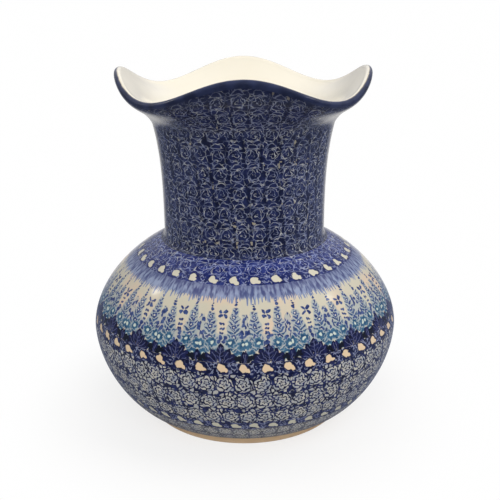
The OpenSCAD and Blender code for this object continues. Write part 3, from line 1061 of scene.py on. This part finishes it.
# Bowl clay: the base under the vase, the outside a hairline under its glaze, and the inside
HAIRLINE = 0.02
depth = GLAZE * np.minimum(1, np.arange(BOWL_STEPS + 1) / LAP_STEPS) + HAIRLINE
clay_line = inset(bowl_out, depth)
clay_line[0] = [BASE_R, FOOT_H, 0]
inner_line = np.concatenate([bowl_in[::-1], [floor_edge]]) + [GLAZE, -GLAZE, 0]
under = np.array([[r, FOOT_H, 0] for r in np.linspace(0, BASE_R, BASE_STEPS + 1)])
middle = (0.0, floor_z - GLAZE)
bowl = [
    (under, heads(under), np.zeros(len(under))),
    (clay_line, heads(clay_line), np.zeros(len(clay_line))),
    flat(clay_line[-1], inner_line[0]),
    (inner_line, heads(inner_line), np.zeros(len(inner_line))),
    flat(inner_line[-1], middle),
    flat(middle, (0.0, FOOT_H)),
]
piece("bowl_clay", bowl, clay, "lower_bowl", slot="stoneware_body")

for node in ("shoulder", "neck", "lip"):
    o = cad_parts[node]
    o.data.materials.clear()
    o.data.materials.append(body_clay)

# Stage, light and camera

scene = bpy.context.scene


def cleared(holder):
    """The empty node tree of a material or a world."""
    holder.use_nodes = True
    holder.node_tree.nodes.clear()
    return Nodes(holder.node_tree)


# The plain white background, as the camera sees it
WHITE = (0.998, 0.998, 0.998, 1)
# The paper as seen, as it lights the vase, and as a glaze reflects it
PAPER, PAPER_LIGHT, PAPER_SHEEN = (0.9, 0.9, 0.905, 1), (0.66, 0.66, 0.66, 1), (0.20, 0.23, 0.33, 1)
# Distances in metres over which the paper fades into the background, and its share there at first
FADE_START, FADE_END, FADE_SHARE = 0.09, 0.165, 0.75
# Light of the room as it falls on the vase, and as a glaze reflects it
ROOM, ROOM_SHEEN = (1.0, 0.99, 0.98, 1), (1.0, 1.04, 1.2, 1)
FLOOR_HALF, FLOOR_FRONT, FLOOR_BACK = 3.0, -0.22, 6.0


def paper():
    """White paper that fades into the plain white background away from the vase."""
    material = bpy.data.materials.new("paper")
    t = cleared(material)
    ray = t.node("ShaderNodeLightPath").outputs
    place = t.node("ShaderNodeTexCoord").outputs["Object"]
    away = t.node("ShaderNodeVectorMath", place)
    away.operation = "LENGTH"
    aim = t.node("ShaderNodeVectorMath", place)
    aim.operation = "NORMALIZE"
    back = t.node("ShaderNodeSeparateXYZ", aim.outputs["Vector"]).outputs["Y"]
    sheen = t.rise(back, 0.72, 0.97, 1.0, 0.0) * ray["Is Glossy Ray"]
    tone = t.mix(sheen, t.mix(ray["Is Diffuse Ray"], PAPER, PAPER_LIGHT), PAPER_SHEEN)
    fade = t.rise(away.outputs["Value"], FADE_START, FADE_END, FADE_SHARE) * ray["Is Camera Ray"]
    seen = t.node("ShaderNodeBsdfDiffuse", tone)
    glow = t.node("ShaderNodeEmission", WHITE)
    look = t.node("ShaderNodeMixShader", fade, seen.outputs[0], glow.outputs[0])
    t.node("ShaderNodeOutputMaterial", look.outputs[0])
    return material


def studio():
    """Plain white to the camera, and to the vase a tent that is brighter above and behind."""
    world = bpy.data.worlds.new("studio")
    t = cleared(world)
    ray = t.node("ShaderNodeLightPath").outputs
    way = t.node("ShaderNodeTexCoord").outputs["Generated"]
    way = t.node("ShaderNodeSeparateXYZ", way).outputs
    level = t.rise(way["Y"], -0.55, 0.25, 0.28, 0.86) * t.rise(way["Z"], -0.25, 0.7, 0.18, 1.05)
    behind = t.rise(way["Y"], 0.6, 0.98, 0.45, 1.0)
    level = level * (1.0 - (1.0 - behind) * ray["Is Glossy Ray"])
    tent = t.node("ShaderNodeBackground", t.mix(ray["Is Glossy Ray"], ROOM, ROOM_SHEEN), level)
    seen = t.node("ShaderNodeBackground", WHITE)
    look = t.node("ShaderNodeMixShader", ray["Is Camera Ray"], tent.outputs[0], seen.outputs[0])
    t.node("ShaderNodeOutputWorld", look.outputs[0])
    return world


mesh = bpy.data.meshes.new("floor")
floor_corners = [
    (-FLOOR_HALF, FLOOR_FRONT, 0),
    (FLOOR_HALF, FLOOR_FRONT, 0),
    (FLOOR_HALF, FLOOR_BACK, 0),
    (-FLOOR_HALF, FLOOR_BACK, 0),
]
mesh.from_pydata(floor_corners, [], [(0, 1, 2, 3)])
mesh.materials.append(paper())
floor = bpy.data.objects.new("floor", mesh)
scene.collection.objects.link(floor)
scene.world = studio()

# Colour of the lamps, and the height in metres that they are aimed at
LAMP_COLOUR, AIM_Z = (1.0, 0.985, 0.96), 0.1


def lamp(name, azimuth, elevation, distance, size, power, shiny=True):
    """A round lamp that is aimed at the vase. Its angles are in degrees from the front."""
    data = bpy.data.lights.new(name, "AREA")
    data.shape = "DISK"
    data.size = size
    data.energy = power
    data.color = LAMP_COLOUR
    obj = bpy.data.objects.new(name, data)
    a, e = math.radians(azimuth), math.radians(elevation)
    way = Vector((math.sin(a) * math.cos(e), -math.cos(a) * math.cos(e), math.sin(e)))
    obj.location = Vector((0, 0, AIM_Z)) + way * distance
    obj.rotation_euler = way.to_track_quat("Z", "Y").to_euler()
    obj.visible_glossy = shiny
    scene.collection.objects.link(obj)


lamp("side_left", -100, 38, 1.0, 0.09, 0.22)
lamp("side_right", 92, 39, 1.0, 0.09, 0.16)
lamp("front_soft", 0, 34, 1.4, 1.3, 11.6, shiny=False)
lamp("right_soft", 78, 46, 1.3, 0.9, 4.8, shiny=False)
lamp("room_lamp", -32, 36, 1.6, 0.04, 0.15)

# Camera: its place in metres, its tilt down and its roll in degrees
CAMERA_PLACE, CAMERA_DOWN, CAMERA_ROLL = (0.0, -0.5, 0.271), 18.283, -0.39
camera_data = bpy.data.cameras.new("camera")
camera_data.sensor_width = 36.0
camera_data.lens = 57.17
camera_data.shift_x = 0.0112
camera_data.clip_start = 0.01
camera = bpy.data.objects.new("camera", camera_data)
camera.location = CAMERA_PLACE
tilt = Euler((math.radians(90 - CAMERA_DOWN), 0, 0)).to_matrix()
roll = Matrix.Rotation(math.radians(CAMERA_ROLL), 3, "Z")
camera.rotation_euler = (tilt @ roll).to_euler()
scene.collection.objects.link(camera)
scene.camera = camera
scene.view_settings.view_transform = "Standard"
